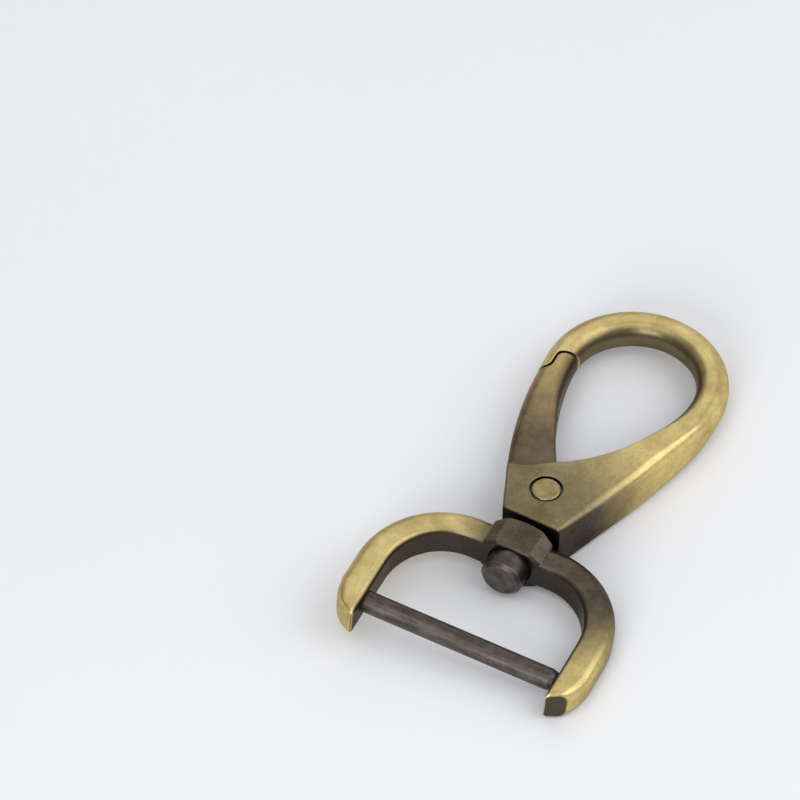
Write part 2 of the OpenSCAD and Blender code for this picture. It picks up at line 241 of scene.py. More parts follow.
# %% [markdown]
# The hook body is one die casting: from the base of the housing, up the spine, round the
# loop and down to the nose. Four short curves steer it: the outer side of the spine, its
# inner side, and the line of the cheek between them. They are smooth on the real hook too,
# because its model was drawn by eye and not from arcs.

# %% Lines of the hook body
FOOT_T, CROTCH_T = 0.16, 0.3
CROTCH = (-0.7, PIVOT_Y + 4.6)
crotch_rise = LOOP_Y - CROTCH[1]
spine_out = [(BASE_R, -BASE_TILT), (BASE_R + (SPINE_XO - BASE_R) * 0.57, LOOP_Y * 0.42),
             (SPINE_XO, LOOP_Y * 0.76), (SPINE_XO, LOOP_Y)]
spine_in = [CROTCH,
            (CROTCH[0] + (SPINE_XI - CROTCH[0]) * 0.52, CROTCH[1] + crotch_rise * 0.14),
            (SPINE_XI, CROTCH[1] + crotch_rise * 0.51), (SPINE_XI, LOOP_Y)]
cheek_in = [(-CHEEK_X, CHEEK_Y), (-CHEEK_X + 2.2, CHEEK_Y + 0.2),
            (CROTCH[0] - 1.6, CROTCH[1] - 1), CROTCH]
NOSE_Y = LOOP_Y + 0.1
LIP_Y = NOSE_Y - 3.4
LIP_X = NOSE_XO + 1.55
print("spine rises to", [round(v, 2) for v in bez(spine_out, 1)])

# %% [markdown]
# The housing is thick and square-edged, the loop almost round, and the corners soften on
# the way. The base has a small rounding of its own, from rings that step back a little.

# %% Loft the hook body
rings = []
base_edge = [(0.07 * (1 - math.cos(a)), 0.5 * (1 - math.sin(a))) for a in QUARTER]
for t, inset in base_edge + [(i / 8, 0) for i in range(1, 8)]:
    foot = (-BASE_L + (BASE_L - CHEEK_X) * t, BASE_TILT + (CHEEK_Y - BASE_TILT) * t)
    rings.append(ring(foot, bez(spine_out, t * FOOT_T), MID_Z - inset, 0, 0.14 + 0.1 * t))
for i in range(12):
    t = i / 12
    side = bez(spine_out, FOOT_T + t * (CROTCH_T - FOOT_T))
    rings.append(ring(bez(cheek_in, t), side, MID_Z, 0, 0.24 + 0.08 * t))
for i in range(54):
    t = i / 54
    side = bez(spine_out, CROTCH_T + t * (1 - CROTCH_T))
    round_out = max(ease(t, 0, 0.45, 0.32, 0.6), ease(t, 0.3, 1, 0, 0.94))
    rings.append(ring(bez(spine_in, t), side, ease(t, 0.25, 1.1, MID_Z, BAND_T / 2 + 0.1),
                      ease(t, 0.5, 1, 0, 0.9), round_out))
for i in range(61):
    d = Vector((math.cos(math.pi * i / 60), math.sin(math.pi * i / 60)))
    c = Vector((LOOP_X, LOOP_Y))
    rings.append(ring(c + d * LOOP_RI, c + d * LOOP_RO,
                      ease(i, 0, 30, BAND_T / 2 + 0.1, BAND_T / 2), 0.9, 0.94))
for i in range(1, 9):
    t = i / 8
    y = LOOP_Y - (LOOP_Y - LIP_Y) * t
    rings.append(ring((NOSE_XI - 0.1 * t, y), (NOSE_XO + 0.15 * t, y), BAND_T / 2, 0.9, 0.94))
hook = loft("hook_casting", rings)
print("hook body has", len(rings), "rings")

# %% [markdown]
# Three things are cut in it: the slot between the two cheeks where the gate's root swings,
# the stepped joint behind the lip of the nose, and the holes for the rivet and the stud.
# The joint is one line that both castings share, so the gate's tip always fits the nose.

# %% Cut the slot, the stepped joint and the bores
RIVET_HOLE_R, RIVET_FACE_R, FRONT_FACE, BACK_FACE = 1.11, 2.05, 0.55, 0.5
STUD_HOLE_R, STUD_SEAT_R = 1.51, 1.91
SLOT_R = KNUCKLE_R + SIDE_GAP


def lip_step(gap, drop):
    line = [(NOSE_XO - 1, LIP_Y - 0.35 - drop), (LIP_X - 0.7, LIP_Y + 0.18 - drop / 4),
            (LIP_X - 0.3, LIP_Y + 0.36), (LIP_X - 0.08, LIP_Y + 0.6), (LIP_X, LIP_Y + 0.95),
            (LIP_X, NOSE_Y - 1), (LIP_X + 0.08, NOSE_Y - 0.7), (LIP_X + 0.3, NOSE_Y - 0.42),
            (LIP_X + 0.65, NOSE_Y - 0.2), (NOSE_XI + 2, NOSE_Y + 1.2)]
    return [(x + gap, y - gap) for x, y in line]


slot = ([(-CHEEK_X - 4, PIVOT_Y - SLOT_R)] + arc(SLOT_R, PIVOT_Y, -math.pi / 2, 0, 24)
        + [(SLOT_R, PIVOT_Y + 9), (-1, PIVOT_Y + 9), (-CHEEK_X - 4, CHEEK_Y + 8)])
carve(hook, prism(slot, CHEEK_T, BODY_T - CHEEK_T))
under_lip = lip_step(0, 0) + [(NOSE_XI + 2, LIP_Y - 2), (NOSE_XO - 1, LIP_Y - 2)]
carve(hook, prism(under_lip, -1, BODY_T + 1))
carve(hook, drum((0, PIVOT_Y, -1), (0, PIVOT_Y, BODY_T + 1), RIVET_HOLE_R))
carve(hook, drum((0, PIVOT_Y, -1), (0, PIVOT_Y, BACK_FACE), RIVET_FACE_R))
carve(hook, drum((0, PIVOT_Y, BODY_T - FRONT_FACE), (0, PIVOT_Y, BODY_T + 1), RIVET_FACE_R))
carve(hook, drum((0, -1, MID_Z), (0, PIVOT_Y - SLOT_R + 0.2, MID_Z), STUD_HOLE_R))
carve(hook, drum((0, -1, MID_Z), (0, BASE_TILT / 2, MID_Z), STUD_SEAT_R))
settle(hook)

# %% [markdown]
# The gate is a second casting: a curved finger whose tip tucks behind the nose. It is
# lofted like the hook. Near its root the rounding runs out, because the root has square
# edges to fill the slot between the cheeks.

# %% Loft the gate
rise = LOOP_Y - PIVOT_Y
gate_out = [(-CHEEK_X + 0.05, CHEEK_Y - 0.4), (-CHEEK_X * 1.32, CHEEK_Y + rise * 0.22),
            (NOSE_XO, LOOP_Y - rise * 0.39), (NOSE_XO + 0.1, LOOP_Y + 0.3)]
gate_in = [(0.6, PIVOT_Y + 2.5), (0.6 + (NOSE_XI - 0.6) * 0.47, PIVOT_Y + rise * 0.35),
           (NOSE_XI, LOOP_Y - rise * 0.36), (NOSE_XI, LOOP_Y + 0.3)]
GATE_RINGS, TIP_T = 56, 0.99
rings = []
for i in range(GATE_RINGS, -1, -1):
    t = TIP_T * i / GATE_RINGS
    run_out = ease(t, 0, 0.16, 0.1, 1)
    rings.append(ring(bez(gate_in, t), bez(gate_out, t), GATE_T / 2,
                      ease(t, 0.4, 1, 0.12, 0.9), run_out * ease(t, 0, 1, 0.4, 0.92)))
gate = loft("gate_casting", rings)
print("gate has", len(rings), "rings")

# %% [markdown]
# The root is a flat block with a heel and a round knuckle that turns on the rivet. It is
# joined to the finger as one casting, 0.03 mm inside its faces so that the two never share
# a plane, which an exact Boolean handles badly.

# %% Join the gate's root
ROOT_T, HEEL, INSET = 0.06, 0.95, 0.03
reach = Vector(gate_in[0]) - Vector((0, PIVOT_Y))
tangent = math.atan2(reach.y, reach.x) - math.acos(KNUCKLE_R / reach.length)
inner, outer = bez(gate_in, ROOT_T), bez(gate_out, ROOT_T)
root = ([(gate_out[0][0] + 2 * INSET, gate_out[0][1] + INSET),
         (-BASE_L - HEEL, PIVOT_Y - KNUCKLE_R)]
        + arc(KNUCKLE_R, PIVOT_Y, -math.pi / 2, tangent, 36)
        + [gate_in[0], (inner.x - EDGE_R, inner.y), (outer.x + EDGE_R, outer.y)])
carve(gate, prism(root, MID_Z - GATE_T / 2 + INSET, MID_Z + GATE_T / 2 - INSET), "UNION")

# %% [markdown]
# Down the gate's inner side runs a channel, which leaves two thin walls round the spring.
# Then come the rivet's bore and the tip, cut on the same stepped line as the nose but
# 0.3 mm away from it.

# %% Cut the gate's channel, bore and tip
CHANNEL_W, CHANNEL_T, FLOOR_SHARE, KNUCKLE_WALL = 2.0, 0.61, 0.62, 0.45
GATE_BORE_R, NOSE_GAP, TIP_DROP = 1.16, 0.3, 0.4
floor_at = [ROOT_T + (CHANNEL_T - ROOT_T) * i / 24 for i in range(25)]
floor_line = [bez(gate_out, t) * FLOOR_SHARE + bez(gate_in, t) * (1 - FLOOR_SHARE)
              for t in floor_at]
last = bez(gate_in, CHANNEL_T)
low_arc = arc(KNUCKLE_R - KNUCKLE_WALL, PIVOT_Y, math.pi, 2 * math.pi, 32)
channel = ([tuple(p) for p in floor_line]
           + [(last.x + 1, last.y + 0.6), (KNUCKLE_R + 2, last.y - 2), (KNUCKLE_R + 2, PIVOT_Y)]
           + list(reversed(low_arc)))
carve(gate, prism(channel, MID_Z - CHANNEL_W / 2, MID_Z + CHANNEL_W / 2))
carve(gate, drum((0, PIVOT_Y, 0), (0, PIVOT_Y, BODY_T), GATE_BORE_R))
tip = lip_step(NOSE_GAP, TIP_DROP) + [(NOSE_XI + 3, NOSE_Y + 1), (NOSE_XI + 3, LOOP_Y + 3),
                                      (NOSE_XO - 1, LOOP_Y + 3)]
carve(gate, prism(tip, -1, BODY_T + 1))
settle(gate)

# %% [markdown]
# The shackle is the third casting: two legs, two arms and a collar round the stud. It
# hangs loose on the stud, so at rest it leans until one leg touches the ground. The angle
# follows from the height of the stud and the leg's rounded lower edge.

# %% Sizes of the shackle, in millimetres
COLLAR_TOP, COLLAR_LEN, COLLAR_W, COLLAR_T, COLLAR_ARCH = -0.85, 4.4, 7.7, 6.2, 9.8
FLANK_W, FLANK_H, COLLAR_SOFT = 1.6, 1.0, 0.35
COLLAR_END = COLLAR_TOP - COLLAR_LEN
LEG_XI, LEG_W, LEG_T, LEG_Y, LEG_ROUND = 12.5, 3.8, 4.3, 22.5, 0.62
LEG_XO = LEG_XI + LEG_W
LEG_CURL, TIP_SLANT = 0.085, 1.2
ARM_YO = COLLAR_TOP - 0.7
ARM_YI = ARM_YO - 3.65
ARM_X, BEND_Y, BAR_Y = 5.2, -13.2, 18.5
GROUND_GAP = 0.03
low_x, low_z = LEG_XO - LEG_ROUND * LEG_W / 2, LEG_T / 2
LEAN = math.asin((MID_Z - GROUND_GAP) / math.hypot(low_x, low_z)) - math.atan2(low_z, low_x)
print("shackle leans by", round(math.degrees(LEAN), 2), "degrees")

# %% [markdown]
# One side is a row of rings from the leg's slanted end, along the leg, which curls in a
# little, and round the arm to the middle. The other side is the same row turned over, so
# both sides are one loft. The collar is a block with slanted flanks, and its edges are
# rounded by bending each corner of its outline into a short curve.

# %% Rings of the shackle
def shackle_ring(a, b, side, half=LEG_T / 2):
    return ring((side * a[0], a[1]), (side * b[0], b[1]), half, 0.42, 0.84, 0.75)


def side_rings(side):
    made = []
    for a in QUARTER[:-1]:
        back, thin = 0.42 * (1 - math.cos(a)), 0.55 * (1 - math.sin(a))
        d = LEG_Y - BAR_Y - back
        made.append(shackle_ring((LEG_XI + 0.4 * thin, back - LEG_Y),
                                 (LEG_XO - LEG_CURL * d * d - 0.4 * thin,
                                  back - LEG_Y + TIP_SLANT), side, LEG_T / 2 - thin))
    for i in range(15, 0, -1):
        t = i / 16
        y = BEND_Y - (LEG_Y - TIP_SLANT + BEND_Y) * t
        d = max(-y - BAR_Y + TIP_SLANT, 0)
        made.append(shackle_ring((LEG_XI, BEND_Y - (LEG_Y + BEND_Y) * t),
                                 (LEG_XO - LEG_CURL * d * d, y), side))
    for i in range(37):
        c, s = math.cos(math.radians(2.5 * i)), math.sin(math.radians(2.5 * i))
        made.append(shackle_ring(
            (ARM_X + (LEG_XI - ARM_X) * c, BEND_Y + (ARM_YI - BEND_Y) * s),
            (ARM_X + (LEG_XO - ARM_X) * c, BEND_Y + (ARM_YO - BEND_Y) * s), side))
    return made


def collar_ring(inset, y):
    w, h = COLLAR_W / 2 - inset, COLLAR_T / 2 - inset
    q = [Vector(p) for p in ((w, FLANK_H - h), (w, h - FLANK_H), (w - FLANK_W, h),
                             (FLANK_W - w, h), (-w, h - FLANK_H), (-w, FLANK_H - h),
                             (FLANK_W - w, -h), (w - FLANK_W, -h))]
    spots = []
    for i in range(8):
        u = (q[i - 1] - q[i]).normalized() * COLLAR_SOFT
        v = (q[(i + 1) % 8] - q[i]).normalized() * COLLAR_SOFT
        for k in range(6):
            t = k / 5
            p = q[i] + u * (1 - t) ** 2 + v * t ** 2
            spots.append(Vector((p.x, y, p.y)))
    return spots


# %% [markdown]
# The collar's top, which faces the hook, is cut to a large drum so that it arches. Then it
# is joined to the arms, and bored for the stud's shank and, from below, for its head. One
# leg has a plain hole right through for the bar, the other a blind one with the thread.

# %% Loft the shackle and bore it
STUD_RUN_R, HEAD_RECESS_R, BAR_HOLE_R, THREAD_HOLE_R, END_WALL = 1.96, 2.85, 1.41, 1.21, 0.55
shackle = loft("shackle_casting", side_rings(1) + list(reversed(side_rings(-1))), lift=0)
rim = [(0.42 * (1 - math.sin(a)), 0.5 * (1 - math.cos(a))) for a in QUARTER]
collar = loft("collar", [collar_ring(inset, COLLAR_END + back) for inset, back in rim]
              + [collar_ring(0, COLLAR_TOP + 0.5)], lift=0)
arch_y = COLLAR_TOP - COLLAR_ARCH
carve(collar, drum((0, arch_y, -6), (0, arch_y, 6), COLLAR_ARCH, 256), "INTERSECT")
carve(shackle, collar, "UNION")
carve(shackle, drum((0, 1, 0), (0, -LEG_Y, 0), STUD_RUN_R))
carve(shackle, drum((0, COLLAR_END + 1, 0), (0, -LEG_Y, 0), HEAD_RECESS_R))
carve(shackle, drum((-LEG_XO - 1, -BAR_Y, 0), (-LEG_XI + 1, -BAR_Y, 0), BAR_HOLE_R))
carve(shackle, drum((LEG_XI - 1, -BAR_Y, 0), (LEG_XO - END_WALL, -BAR_Y, 0), THREAD_HOLE_R))
settle(shackle, LEAN)

# %% [markdown]
# The strap bar is turned from round steel: chamfered at both ends, with a taper where the
# thread starts. A lathe makes it by moving a tool along a profile, and so does this cell,
# which turns a short list of places and radii round the bar's axis. A screwdriver slot is
# sawn across the plain end.

# %% Turn the strap bar
def turned(name, profile, sides=72):
    bm = bmesh.new()
    bm.loops.layers.uv.new("flow")
    rows = []
    for x, r in profile:
        angles = (2 * math.pi * i / sides for i in range(sides))
        rows.append([bm.verts.new((x, r * math.cos(a), r * math.sin(a))) for a in angles])
    for r0, r1 in zip(rows, rows[1:]):
        for i in range(sides):
            k = (i + 1) % sides
            bm.faces.new((r0[i], r0[k], r1[k], r1[i]))
    bm.faces.new(rows[0])
    bm.faces.new(rows[-1])
    return close_up(name, bm)


BAR_R, THREAD_R, THREAD_DEPTH, PITCH = 1.35, 1.19, 0.24, 0.45
BAR_X0, SHOULDER_X, BAR_X1 = -LEG_XO + 0.8, LEG_XI - 0.2, LEG_XO - 0.75
SAW_W, SAW_DEPTH = 0.6, 0.9
core = THREAD_R - THREAD_DEPTH
bar = turned("turned_bar", [
    (BAR_X0, BAR_R - 0.22), (BAR_X0 + 0.08, BAR_R - 0.1), (BAR_X0 + 0.25, BAR_R),
    (SHOULDER_X - 0.75, BAR_R), (SHOULDER_X - 0.6, BAR_R - 0.06),
    (SHOULDER_X - 0.08, BAR_R - 0.2), (SHOULDER_X, core),
    (BAR_X1 - 0.2, core), (BAR_X1, core - 0.2)])
sawn = [(BAR_X0 - 1, -SAW_W / 2), (BAR_X0 + SAW_DEPTH, -SAW_W / 2),
        (BAR_X0 + SAW_DEPTH, SAW_W / 2), (BAR_X0 - 1, SAW_W / 2)]
carve(bar, prism(sawn, -2.5, 2.5))
print("bar is", round(BAR_X1 - BAR_X0, 2), "mm long")

# %% [markdown]
# The thread winds round the end like a spring. It could be modelled as one long strip, but
# Geometry Nodes make it with less work and can be changed later: a spiral curve carries a
# small six-sided profile. The sizes are the tree's named inputs. One helper adds a node,
# here and in the finishes below.

# %% Helpers for node trees
def link_nodes(tree, kind, settings=None, **links):
    """Adds one node, sets its values and joins its inputs."""
    node = tree.nodes.new(kind)
    for key, value in (settings or {}).items():
        if isinstance(key, str) and hasattr(node, key):
            setattr(node, key, value)
        else:
            node.inputs[key].default_value = value
    for key, source in links.items():
        numbered = key[0] == "i" and key[1:].isdigit()
        tree.links.new(source, node.inputs[int(key[1:]) if numbered else key.replace("_", " ")])
    return node


def named_inputs(tree, sizes):
    tree.interface.new_socket("Geometry", in_out="OUTPUT", socket_type="NodeSocketGeometry")
    for label, value in sizes.items():
        kind = "NodeSocketMaterial" if value is None else "NodeSocketFloat"
        socket = tree.interface.new_socket(label, in_out="INPUT", socket_type=kind)
        if value is not None:
            socket.default_value = value


def hand_over(tree, made, finish):
    """Ends a tree: real meshes, with their material, go to the output."""
    real = link_nodes(tree, "GeometryNodeRealizeInstances", None, Geometry=made)
    dressed = link_nodes(tree, "GeometryNodeSetMaterial", None, Geometry=real.outputs[0],
                         Material=finish)
    link_nodes(tree, "NodeGroupOutput", None, Geometry=dressed.outputs[0])


# %% [markdown]
# The profile's radius is a little over half the thread's depth, and its path runs that
# much under the crest, so the ridge stands on the core and reaches the full radius.

# %% Geometry Nodes tree for a thread
thread_tree = bpy.data.node_groups.new("cut_thread", "GeometryNodeTree")
named_inputs(thread_tree, {"Crest radius": 1.0, "Depth": 0.2, "Pitch": 0.5, "Length": 3.0,
                           "Finish": None})
sizes = thread_tree.nodes.new("NodeGroupInput").outputs
turns = link_nodes(thread_tree, "ShaderNodeMath", {"operation": "DIVIDE"},
                   i0=sizes["Length"], i1=sizes["Pitch"])
half = link_nodes(thread_tree, "ShaderNodeMath", {"operation": "MULTIPLY", 1: 0.62},
                  i0=sizes["Depth"])
path_r = link_nodes(thread_tree, "ShaderNodeMath", {"operation": "SUBTRACT"},
                    i0=sizes["Crest radius"], i1=half.outputs[0])
helix = link_nodes(thread_tree, "GeometryNodeCurveSpiral", {"Resolution": 48, "Reverse": True},
                   Rotations=turns.outputs[0], Start_Radius=path_r.outputs[0],
                   End_Radius=path_r.outputs[0], Height=sizes["Length"])
tooth = link_nodes(thread_tree, "GeometryNodeCurvePrimitiveCircle", {"Resolution": 6},
                   Radius=half.outputs[0])
ridge = link_nodes(thread_tree, "GeometryNodeCurveToMesh", {"Fill Caps": True},
                   Curve=helix.outputs[0], Profile_Curve=tooth.outputs[0])
hand_over(thread_tree, ridge.outputs[0], sizes["Finish"])
print("thread tree has", len(thread_tree.nodes), "nodes")

# %% [markdown]
# A tree only shows its result while its modifier is live. The next helper runs it on a
# seed mesh, keeps the plain mesh that comes out and removes the rest.

# %% Grow the thread
def grow(name, tree, start_mesh, **sizes):
    """Runs a tree on an object and returns the plain mesh that it makes."""
    obj = new_piece(name, start_mesh)
    mod = obj.modifiers.new("grow", "NODES")
    mod.node_group = tree
    for item in tree.interface.items_tree:
        if item.in_out == "INPUT" and item.name.replace(" ", "_") in sizes:
            mod[item.identifier] = sizes[item.name.replace(" ", "_")]
    graph = bpy.context.evaluated_depsgraph_get()
    made = bpy.data.meshes.new_from_object(obj.evaluated_get(graph))
    bpy.data.objects.remove(obj)
    return made


THREAD_LEN = BAR_X1 - SHOULDER_X - 0.5
thread = grow("thread", thread_tree, bpy.data.meshes.new("seed"), Crest_radius=THREAD_R,
              Depth=THREAD_DEPTH, Pitch=PITCH, Length=THREAD_LEN)
print("thread has", len(thread.polygons), "faces,", round(THREAD_LEN / PITCH, 1), "turns")

# %% [markdown]
# The spiral rises along Z, so it is turned to lie along the bar and joined to it. Then the
# whole bar goes to its place in the leaning shackle.

# %% Join thread and bar
lie_down = Matrix.Rotation(math.radians(90), 4, "Y")
thread.transform(Matrix.Translation((SHOULDER_X + 0.2, 0, 0)) @ lie_down)
bm = bmesh.new()
bm.from_mesh(bar.data)
bm.from_mesh(thread)
bmesh.ops.recalc_face_normals(bm, faces=bm.faces)
bm.to_mesh(bar.data)
bm.free()
bar.data.transform(Matrix.Translation((0, -BAR_Y, 0)))
settle(bar, LEAN, sharp=40)

# %% [markdown]
# The gate's spring is a torsion spring of fine round wire: one leg lies in the gate's
# channel, the coil sits round the rivet, and the other leg rests in the housing. A bevelled
# curve would do as well, but a second tree keeps the wire's radius as a named size. It
# sweeps a circle along the path.

# %% Geometry Nodes tree for round wire
wire_tree = bpy.data.node_groups.new("round_wire", "GeometryNodeTree")
named_inputs(wire_tree, {"Radius": 0.2, "Finish": None})
wire_tree.interface.new_socket("Path", in_out="INPUT", socket_type="NodeSocketObject")
sizes = wire_tree.nodes.new("NodeGroupInput").outputs
fetch = link_nodes(wire_tree, "GeometryNodeObjectInfo", None, Object=sizes["Path"])
circle = link_nodes(wire_tree, "GeometryNodeCurvePrimitiveCircle", {"Resolution": 14},
                    Radius=sizes["Radius"])
sweep = link_nodes(wire_tree, "GeometryNodeCurveToMesh", {"Fill Caps": True},
                   Curve=fetch.outputs["Geometry"], Profile_Curve=circle.outputs[0])
hand_over(wire_tree, sweep.outputs[0], sizes["Finish"])
print("wire tree has", len(wire_tree.nodes), "nodes")

# %% [markdown]
# The path starts at the far end of the gate's leg, which points down the middle of the
# gate's finger, meets the coil where it touches it, winds twice round the rivet and runs
# off into the housing.

# %% Wind the spring
WIRE_R, TURNS, BORE_GAP, WALL_GAP, REAR_DEG = 0.2, 2, 0.08, 0.2, 350
coil_r = GATE_BORE_R + BORE_GAP + WIRE_R
coil_h = CHANNEL_W - 2 * WALL_GAP - 2 * WIRE_R
aim = bez(gate_out, 0.5) * 0.3 + bez(gate_in, 0.5) * 0.7 - Vector((0, PIVOT_Y))
leg_len = math.sqrt(aim.length_squared - coil_r ** 2)
a0 = math.atan2(aim.y, aim.x) + math.acos(coil_r / aim.length)
a1 = math.radians(REAR_DEG + 360 * TURNS)


def on_coil(a, z):
    return Vector((coil_r * math.cos(a), PIVOT_Y + coil_r * math.sin(a), z))


def heading(a):
    return Vector((math.cos(a), math.sin(a), 0))


path = [on_coil(a0, -coil_h / 2) + s * leg_len * heading(a0 - math.pi / 2)
        for s in (1, 0.8, 0.6, 0.4, 0.25, 0.1)]
path += [on_coil(a0 + (a1 - a0) * i / 96, -coil_h / 2 + coil_h * i / 96) for i in range(97)]
path += [on_coil(a1, coil_h / 2) + s * heading(a1 + math.pi / 2) for s in (1.2, 2.5, 3.8, 5)]
line = bpy.data.curves.new("spring_path", "CURVE")
line.dimensions = "3D"
spline = line.splines.new("POLY")
spline.points.add(len(path) - 1)
for point, spot in zip(spline.points, path):
    point.co = (spot.x, spot.y, spot.z + MID_Z, 1)
guide = new_piece("spring_path", line)
wire = grow("wire", wire_tree, bpy.data.meshes.new("wire_seed"), Radius=WIRE_R, Path=guide)
bpy.data.objects.remove(guide)
spring = new_piece("torsion_spring", wire)
settle(spring, sharp=50)

# %% [markdown]
# ## Finishes
# Colours are written as they look on a screen and turned to the linear values that light
# works with. Patterns are given by how many of them fit in a millimetre of the real metal.

# %% Colour helper
PER_MM = 1 / MM


def srgb(code):
    parts = [int(code[i:i + 2], 16) / 255 for i in (1, 3, 5)]
    return [c / 12.92 if c <= 0.04045 else ((c + 0.055) / 1.055) ** 2.4 for c in parts] + [1.0]


print("antique brass is", [round(v, 3) for v in srgb("#A8985C")])

# %% [markdown]
# Antique brass is a zinc casting plated with brass, darkened in a bath and then brushed
# back with a fine belt, so the raised places are yellow and the hollows stay brown and
# dark. One even brown would look like paint, so each part of that history is a mask of its
# own, and the colours lie over one another in the order in which the workshop made them.
# A painted highlight on the edges and painted shade in deep corners lie over them as well.
#
# The first mask darkens walls that look into an opening, and the ends of the shackle's
# legs. It could be painted on the mesh by hand, but a rule is surer: a wall is dark where
# its normal points at the middle of the opening, and a leg's end where its normal points
# down the leg.

# %% Darkened walls and leg ends
LEG_END_WAY = (0.3, -0.954, 0)


def darkened_walls_and_ends(tree, spot, opening, dark_walls, dark_tip):
    gap = link_nodes(tree, "ShaderNodeVectorMath", {"operation": "SUBTRACT", 0: opening},
                     i1=spot["Object"])
    flat = link_nodes(tree, "ShaderNodeVectorMath", {"operation": "MULTIPLY", 1: (1, 1, 0)},
                      i0=gap.outputs[0])
    way = link_nodes(tree, "ShaderNodeVectorMath", {"operation": "NORMALIZE"},
                     i0=flat.outputs[0])
    facing = link_nodes(tree, "ShaderNodeVectorMath", {"operation": "DOT_PRODUCT"},
                        i0=way.outputs[0], i1=spot["Normal"])
    walls = link_nodes(tree, "ShaderNodeMapRange", {1: 0.3, 2: 0.8, 4: dark_walls},
                       Value=facing.outputs["Value"])
    end_on = link_nodes(tree, "ShaderNodeVectorMath",
                        {"operation": "DOT_PRODUCT", 1: LEG_END_WAY}, i0=spot["Normal"])
    ends = link_nodes(tree, "ShaderNodeMapRange", {1: 0.86, 2: 0.96, 4: dark_tip},
                      Value=end_on.outputs["Value"])
    return link_nodes(tree, "ShaderNodeMath", {"operation": "MAXIMUM"},
                      i0=walls.outputs[0], i1=ends.outputs[0]).outputs[0]


# %% [markdown]
# The second mask is where the dark bath was left on: round the swivel, where the belt can't
# get in, and in one stain beside it, which the brushing missed. Each is a soft ball round
# a place on the metal. Faces that look up are kept less dark than the sides, which paints
# shade on the sides.

# %% Places where the dark bath was left on
def bath_left(tree, spot, places, brown):
    """Each place is its centre, its reach, and the share of it that is fully dark."""
    balls = []
    for centre, reach, full in places:
        away = link_nodes(tree, "ShaderNodeVectorMath", {"operation": "DISTANCE", 1: centre},
                          i0=spot["Object"])
        ball = link_nodes(tree, "ShaderNodeMapRange",
                          {1: reach * full, 2: reach, 3: 1.0, 4: 0.0,
                           "interpolation_type": "SMOOTHSTEP"}, Value=away.outputs["Value"])
        balls.append(ball.outputs[0])
    left_on = link_nodes(tree, "ShaderNodeMath", {"operation": "MAXIMUM"},
                         i0=balls[0], i1=balls[1])
    axes = link_nodes(tree, "ShaderNodeSeparateXYZ", None, Vector=spot["Normal"])
    # Painted shade: sides stay darker than faces that look up.
    upright = link_nodes(tree, "ShaderNodeMapRange", {1: 0.15, 2: 0.9, 3: 1.0, 4: brown},
                         Value=axes.outputs[2])
    return link_nodes(tree, "ShaderNodeMath", {"operation": "MULTIPLY"},
                      i0=left_on.outputs[0], i1=upright.outputs[0]).outputs[0]


# %% [markdown]
# Edges are rubbed bright by handling, and the pale colour that this mask lays on every edge
# is also a painted highlight. The Bevel node gives a normal as if every edge had a small
# rounding; where it differs from the true one there is an edge. The same softened normal
# catches a thin line of light.

# %% Rubbed edges and painted edge highlight
def edge_wear_and_painted_highlight(tree, radius, full_at, strength):
    soft = link_nodes(tree, "ShaderNodeBevel", {"samples": 6, "Radius": radius})
    true = tree.nodes.new("ShaderNodeNewGeometry")
    bend = link_nodes(tree, "ShaderNodeVectorMath", {"operation": "DOT_PRODUCT"},
                      i0=soft.outputs[0], i1=true.outputs["Normal"])
    edge = link_nodes(tree, "ShaderNodeMapRange", {1: 0.99, 2: full_at, 4: strength},
                      Value=bend.outputs["Value"])
    return soft.outputs[0], edge.outputs[0]


# %% [markdown]
# The belt leaves cloudy streaks along the band, 0.25 mm wide and 4 mm long, and patches of
# brown about 4 mm wide. The real belt lines are finer than a pixel, so they are drawn that
# coarse. They follow the "flow" map, and the patches follow the metal itself. One fine
# noise gives spots 0.2 mm wide: its high ones are pits in the casting, its low ones flecks.

# %% Patches, streaks and pits
def metal_patterns(tree, spot):
    flow = link_nodes(tree, "ShaderNodeUVMap", {"uv_map": "flow"}).outputs[0]
    patch = link_nodes(tree, "ShaderNodeTexNoise",
                       {"Scale": 0.23 * PER_MM, "Detail": 8.0, "Roughness": 0.74},
                       Vector=spot["Object"])
    grain_at = link_nodes(tree, "ShaderNodeMapping", {"Scale": (0.25, 4.2, 1.0)}, Vector=flow)
    grain = link_nodes(tree, "ShaderNodeTexNoise",
                       {"Scale": 1.0, "Detail": 4.0, "Roughness": 0.65},
                       Vector=grain_at.outputs[0])
    pits = link_nodes(tree, "ShaderNodeTexNoise", {"Scale": 5.2 * PER_MM, "Detail": 2.0},
                      Vector=spot["Object"])
    hole = link_nodes(tree, "ShaderNodeMapRange", {1: 0.66, 2: 0.76, 4: 0.9},
                      Value=pits.outputs[0])
    fleck = link_nodes(tree, "ShaderNodeMapRange", {1: 0.38, 2: 0.26, 4: 0.16},
                       Value=pits.outputs[0])
    return patch.outputs[0], grain.outputs[0], hole.outputs[0], fleck.outputs[0]
